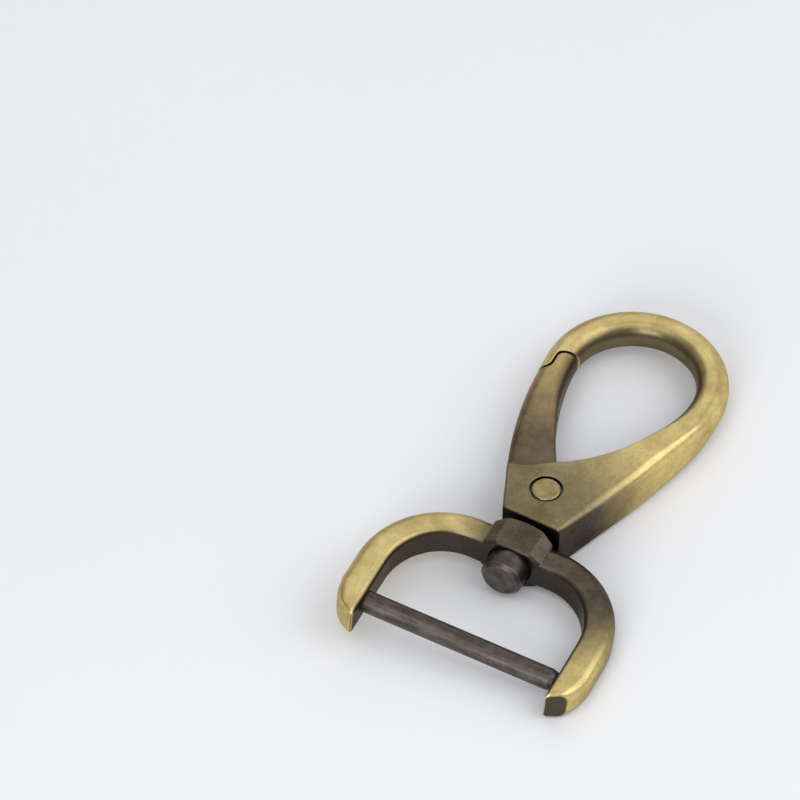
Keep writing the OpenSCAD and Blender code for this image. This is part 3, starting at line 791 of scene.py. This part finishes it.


# %% [markdown]
# Three colours start it: brushed brass with duller clouds in it, the mottled skin of the
# dark bath, and the edge colour, which is partly rubbed wear and partly a painted highlight:
# pale yellow on the brass and grey on the bath.

# %% Colours of the plating
def plating_colours(tree, patch, grain, bath, brushed, dull):
    streak = link_nodes(tree, "ShaderNodeMapRange", {1: 0.3, 2: 0.7}, Value=grain)
    cloud = link_nodes(tree, "ShaderNodeMapRange", {1: 0.4, 2: 0.66, 4: 0.7}, Value=patch)
    mottle = link_nodes(tree, "ShaderNodeMapRange", {1: 0.38, 2: 0.66}, Value=patch)
    worn = link_nodes(tree, "ShaderNodeMix",
                      {"data_type": "RGBA", 6: srgb(brushed[0]), 7: srgb(brushed[1])},
                      i0=streak.outputs[0])
    clouded = link_nodes(tree, "ShaderNodeMix", {"data_type": "RGBA", 7: srgb(dull)},
                         i0=cloud.outputs[0], i6=worn.outputs[2])
    skin = link_nodes(tree, "ShaderNodeMix",
                      {"data_type": "RGBA", 6: srgb("#584D47"), 7: srgb("#2A2422")},
                      i0=mottle.outputs[0])
    # Edge colour: partly rubbed wear, partly a painted highlight.
    edge_wear_and_highlight_colour = link_nodes(tree, "ShaderNodeMix",
                        {"data_type": "RGBA", 6: srgb("#E9DAA0"), 7: srgb("#A39B90")}, i0=bath)
    return clouded.outputs[2], skin.outputs[2], edge_wear_and_highlight_colour.outputs[2]


# %% [markdown]
# Now the finish itself. The colours go one over the other: bath, darkened walls, flecks,
# pits, edges that are partly rubbed wear and partly painted highlight, and last painted
# shade and grime in deep corners, which ambient occlusion finds. The belt leaves a satin and
# shallow grooves, and the bath's skin and the darkened walls stay duller. A clear lacquer
# lies over all of it as a thin coat. The eye sees a yellow that changes from patch to patch,
# a bright line on every edge, partly painted, and near-black brown on the inner walls and
# round the swivel.

# %% Plated castings
def plated_brass(name, opening, dark_walls, dark_tip, places, brown, brushed, dull):
    mat = bpy.data.materials.new(name)
    mat.use_nodes = True
    tree = mat.node_tree
    tree.nodes.clear()
    spot = tree.nodes.new("ShaderNodeTexCoord").outputs
    inner = darkened_walls_and_ends(tree, spot, opening, dark_walls, dark_tip)
    bath = bath_left(tree, spot, places, brown)
    soft, edge = edge_wear_and_painted_highlight(tree, 0.24 * MM, 0.82, 0.55)
    patch, grain, hole, fleck = metal_patterns(tree, spot)
    colour, skin, edge_wear_and_highlight_colour = plating_colours(tree, patch, grain, bath, brushed, dull)
    # Painted shade and grime: ambient occlusion darkens deep corners and gaps.
    hollow = link_nodes(tree, "ShaderNodeAmbientOcclusion",
                        {"samples": 8, "Distance": 2.2 * MM})
    corner_shade_and_grime = link_nodes(tree, "ShaderNodeMapRange", {1: 0.62, 2: 0.2, 4: 0.85},
                      Value=hollow.outputs["AO"])
    # The edge layer is partly a painted highlight and the last layer is painted shade.
    for amount, over in ((bath, skin), (inner, "#3C3632"), (fleck, "#C9BC94"),
                         (hole, "#4A4038"), (edge, edge_wear_and_highlight_colour), (corner_shade_and_grime.outputs[0], "#2E2825")):
        plain = isinstance(over, str)
        colour = link_nodes(tree, "ShaderNodeMix",
                            {"data_type": "RGBA", **({7: srgb(over)} if plain else {})},
                            i0=amount, i6=colour, **({} if plain else {"i7": over})).outputs[2]

    satin = link_nodes(tree, "ShaderNodeMapRange", {1: 0.3, 2: 0.7, 3: 0.3, 4: 0.4},
                       Value=grain)
    bath_and_dark_walls = link_nodes(tree, "ShaderNodeMath", {"operation": "MAXIMUM"}, i0=bath, i1=inner)
    rough = link_nodes(tree, "ShaderNodeMix", {3: 0.4}, i0=bath_and_dark_walls.outputs[0],
                       i2=satin.outputs[0])
    groove = link_nodes(tree, "ShaderNodeBump", {"Strength": 0.3, "Distance": 0.02 * MM},
                        Height=grain, Normal=soft)
    cast = link_nodes(tree, "ShaderNodeBump", {"Strength": 0.3, "Distance": 0.08 * MM},
                      Height=patch, Normal=groove.outputs[0])
    dent = link_nodes(tree, "ShaderNodeBump",
                      {"Strength": 0.25, "Distance": 0.03 * MM, "invert": True},
                      Height=hole, Normal=cast.outputs[0])
    metal = link_nodes(tree, "ShaderNodeBsdfPrincipled",
                       {"Metallic": 1.0, "Specular Tint": srgb("#B8AC9C"),
                        "Coat Weight": 0.3, "Coat Roughness": 0.07},
                       Base_Color=colour, Roughness=rough.outputs[0], Normal=dent.outputs[0])
    link_nodes(tree, "ShaderNodeOutputMaterial", None, Surface=metal.outputs[0])
    return mat


# %% [markdown]
# The three castings come from the same bath, but the belt treated them differently. The
# gate was brushed least and is the brownest. The shackle has the darkest inner walls, and
# only its legs have darkened ends.

# %% Plate the three castings
eye_spot = (LOOP_X * MM, (LOOP_Y + SHIFT_Y) * MM, MID_Z * MM)
strap_spot = (0, (BEND_Y + SHIFT_Y) * MM, MID_Z * MM)
swivel_spot = (0, (SHIFT_Y - 1) * MM, MID_Z * MM)
collar_spot = (0, (SHIFT_Y - 3) * MM, MID_Z * MM)
arm_stain = (8 * MM, (SHIFT_Y - 4) * MM, MID_Z * MM)
base_stain = (-4 * MM, (SHIFT_Y + 3) * MM, BODY_T * MM)
body_finish = plated_brass(
    "antique_brass_hook", eye_spot, dark_walls=0.8, dark_tip=0, brown=0.75,
    places=((swivel_spot, 21 * MM, 0.35), (base_stain, 11.5 * MM, 0.3)),
    brushed=("#DFC878", "#F0DE9E"), dull="#B7955E")
gate_finish = plated_brass(
    "antique_brass_gate", eye_spot, dark_walls=0.9, dark_tip=0, brown=0.85,
    places=((swivel_spot, 34 * MM, 0.35), (base_stain, 17 * MM, 0.3)),
    brushed=("#CDB372", "#DFC78A"), dull="#9C7F5C")
shackle_finish = plated_brass(
    "antique_brass_shackle", strap_spot, dark_walls=0.97, dark_tip=0.95, brown=0.95,
    places=((collar_spot, 8.8 * MM, 0.35), (arm_stain, 17.2 * MM, 0.3)),
    brushed=("#DBC474", "#ECDB9C"), dull="#AA8F5C")
for piece, finish in ((hook, body_finish), (gate, gate_finish), (shackle, shackle_finish)):
    piece.data.materials.clear()
    piece.data.materials.append(finish)
    print(piece.name, "is", finish.name)

# %% [markdown]
# The bar, the stud, the rivet and the spring are steel. The bar and the stud are turned
# and then plated a dark gunmetal brown that wears through on edges. On all four the lighter
# edge colour is partly that wear and partly a painted highlight. Turning leaves faint
# rings, so the noise is stretched round the bar's axis, and a second, cloudy one stains
# the plating. The rivet is plated with the hook and then peened. Spring wire is drawn, so
# it is smooth and bright. One recipe with a few numbers serves all four.

# %% Plated and drawn steel
def turned_steel(name, low, high, edge_wear_and_highlight_tint, rough_low, rough_high, rings_per_mm, coat):
    mat = bpy.data.materials.new(name)
    mat.use_nodes = True
    tree = mat.node_tree
    tree.nodes.clear()
    spot = tree.nodes.new("ShaderNodeTexCoord").outputs
    soft, edge = edge_wear_and_painted_highlight(tree, 0.12 * MM, 0.88, 0.8)
    rings_at = link_nodes(tree, "ShaderNodeMapping",
                          {"Scale": [k * PER_MM for k in rings_per_mm]}, Vector=spot["Object"])
    rings_in = link_nodes(tree, "ShaderNodeTexNoise",
                          {"Scale": 1.0, "Detail": 3.0, "Roughness": 0.6},
                          Vector=rings_at.outputs[0])
    stain = link_nodes(tree, "ShaderNodeTexNoise",
                       {"Scale": 0.7 * PER_MM, "Detail": 5.0, "Roughness": 0.65},
                       Vector=spot["Object"])
    both = link_nodes(tree, "ShaderNodeMath", {"operation": "MULTIPLY"},
                      i0=rings_in.outputs[0], i1=stain.outputs[0])
    tone = link_nodes(tree, "ShaderNodeMapRange", {1: 0.12, 2: 0.4}, Value=both.outputs[0])
    plate = link_nodes(tree, "ShaderNodeMix",
                       {"data_type": "RGBA", 6: srgb(low), 7: srgb(high)}, i0=tone.outputs[0])
    # Edge colour: partly wear, partly a painted highlight.
    worn = link_nodes(tree, "ShaderNodeMix", {"data_type": "RGBA", 7: srgb(edge_wear_and_highlight_tint)},
                      i0=edge, i6=plate.outputs[2])
    rough = link_nodes(tree, "ShaderNodeMapRange", {1: 0.3, 2: 0.7, 3: rough_low, 4: rough_high},
                       Value=stain.outputs[0])
    groove = link_nodes(tree, "ShaderNodeBump", {"Strength": 0.3, "Distance": 0.02 * MM},
                        Height=rings_in.outputs[0], Normal=soft)
    metal = link_nodes(tree, "ShaderNodeBsdfPrincipled",
                       {"Metallic": 1.0, "Coat Weight": coat, "Coat Roughness": 0.15},
                       Base_Color=worn.outputs[2], Roughness=rough.outputs[0],
                       Normal=groove.outputs[0])
    link_nodes(tree, "ShaderNodeOutputMaterial", None, Surface=metal.outputs[0])
    return mat


# %% [markdown]
# The stud and the rivet are plain turned shapes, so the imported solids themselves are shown
# and only get their material.

# %% Finish the steel parts
bar_finish = turned_steel("gunmetal_plated_bar", "#433C38", "#6E6660", "#8A8179",
                          0.4, 0.52, (0.26, 1.5, 1.5), 0.15)
stud_finish = turned_steel("gunmetal_plated_stud", "#3F3936", "#69625D", "#B0A8A0",
                           0.36, 0.48, (0.9, 0.9, 0.9), 0.2)
rivet_finish = turned_steel("antique_brass_rivet", "#8C7C4E", "#B5A56E", "#D8C98C",
                            0.32, 0.45, (0.9, 0.9, 0.9), 0.3)
wire_finish = turned_steel("drawn_spring_wire", "#6A6662", "#9A9792", "#B0ADA8",
                           0.22, 0.32, (0.6, 0.6, 0.6), 0.0)
for piece, finish in ((bar, bar_finish), (spring, wire_finish),
                      (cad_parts["swivel_stud"], stud_finish),
                      (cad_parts["pivot_rivet"], rivet_finish)):
    piece.data.materials.clear()
    piece.data.materials.append(finish)
    print(piece.name, "is", finish.name)

# %% [markdown]
# The castings and the bar ride on the bodies that carry them. The finer castings stand for
# the solids of the same shape. The spring is held by the hook at one end and by the gate at
# the other; here it stays where it was wound, attached to no body, and the imported spring
# is hidden.

# %% Pieces ride on their bodies
for piece, body, node, slot_name in (
        (hook, "hook", "hook_body", "body_casting"), (gate, "gate", "gate", "gate_casting"),
        (shackle, "shackle", "shackle", "shackle_casting"),
        (bar, "screw_bar", "screw_bar", "bar")):
    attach(piece, body)
    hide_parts(node)
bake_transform(spring)
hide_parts("gate_spring")

# %% [markdown]
# ## Table, light and camera
# The hook lies on a pale smooth table, bent up far behind it like a sheet of paper, so
# that the metal mirrors the same pale white all round. It lies a hair under the hook, and
# its colour and not more light makes it white, so the shadow stays soft and visible.

# %% Table
BEND_START, BEND_R, WALL_H, HALF_W, HAIR = 0.5, 0.35, 1.1, 1.4, 0.02 * MM
bm = bmesh.new()
rows = []
bend = [(BEND_START + BEND_R * math.sin(math.radians(a)),
         BEND_R - BEND_R * math.cos(math.radians(a))) for a in range(10, 91, 10)]
for y, z in [(-0.9, 0), (BEND_START, 0)] + bend + [(BEND_START + BEND_R, WALL_H)]:
    rows.append([bm.verts.new((x, y, z - HAIR)) for x in (-HALF_W, HALF_W)])
for low, high in zip(rows, rows[1:]):
    bm.faces.new((low[0], low[1], high[1], high[0])).smooth = True
mesh = bpy.data.meshes.new("table")
bm.to_mesh(mesh)
bm.free()
table = new_piece("table", mesh)
paper = bpy.data.materials.new("matt_white_paper")
paper.use_nodes = True
tree = paper.node_tree
tree.nodes.clear()
spot = tree.nodes.new("ShaderNodeTexCoord").outputs
pulp = link_nodes(tree, "ShaderNodeTexNoise", {"Scale": 9.0, "Detail": 2.0},
                  Vector=spot["Object"])
shade = link_nodes(tree, "ShaderNodeMix",
                   {"data_type": "RGBA", 6: srgb("#EDEEF1"), 7: srgb("#F4F5F8")},
                   i0=pulp.outputs[0])
sheet = link_nodes(tree, "ShaderNodeBsdfPrincipled", {"Roughness": 0.6},
                   Base_Color=shade.outputs[2])
link_nodes(tree, "ShaderNodeOutputMaterial", None, Surface=sheet.outputs[0])
table.data.materials.append(paper)
print("table is", [round(v, 2) for v in table.dimensions], "m")

# %% [markdown]
# Soft studio light. A box above lights everything evenly. A wide one to the right throws
# the soft shadow to the left and draws the light line along the spine's crease. A small low
# one in front lights the lower edges, and a dim wide one behind is what the flat tops
# mirror. An even surround fills the shadows.

# %% Lights
def softbox(name, place, size, watts):
    lamp = bpy.data.lights.new(name, "AREA")
    lamp.shape, lamp.size, lamp.energy = "SQUARE", size, watts
    obj = bpy.data.objects.new(name, lamp)
    obj.location = place
    obj.rotation_euler = (-Vector(place)).to_track_quat("-Z", "Y").to_euler()
    bpy.context.scene.collection.objects.link(obj)
    print(name, "is", size, "m wide with", watts, "W")


softbox("box_above", (-0.05, -0.33, 0.7), 0.55, 1.1)
softbox("box_right", (0.55, 0.15, 0.55), 0.8, 2.9)
softbox("box_front", (0.05, -0.78, 0.34), 0.4, 2.7)
softbox("box_back", (-0.25, 0.42, 0.68), 0.75, 0.8)
world = bpy.data.worlds.new("surround")
world.use_nodes = True
surround = world.node_tree.nodes["Background"].inputs
surround[0].default_value = srgb("#ECEDF0")
surround[1].default_value = 0.425
bpy.context.scene.world = world
bpy.context.scene.view_settings.view_transform = "Standard"

# %% [markdown]
# The camera looks down at 47.7 degrees from the shackle's side, 26 degrees to the right,
# through a long lens about 0.68 m away. The place in the picture where the origin should
# come, in pixels, says how far the camera moves sideways and up.

# %% Camera
PICTURE = 800
azimuth, elevation = math.radians(26), math.radians(47.7)
distance, focal_px, origin_px = 0.6788, 5600, (556.81, 505.90)
forward = Vector((-math.sin(azimuth) * math.cos(elevation),
                  math.cos(azimuth) * math.cos(elevation), -math.sin(elevation)))
right = Vector((math.cos(azimuth), math.sin(azimuth), 0))
up = right.cross(forward)
aside, below = [(px - PICTURE / 2) / focal_px * distance for px in origin_px]
lens = bpy.data.cameras.new("camera")
lens.lens = focal_px / PICTURE * lens.sensor_width
camera = bpy.data.objects.new("camera", lens)
camera.location = -(forward * distance + right * aside - up * below)
camera.rotation_euler = Matrix((right, up, -forward)).transposed().to_euler()
bpy.context.scene.collection.objects.link(camera)
bpy.context.scene.camera = camera
print("camera at", [round(v, 4) for v in camera.location], "lens", lens.lens)
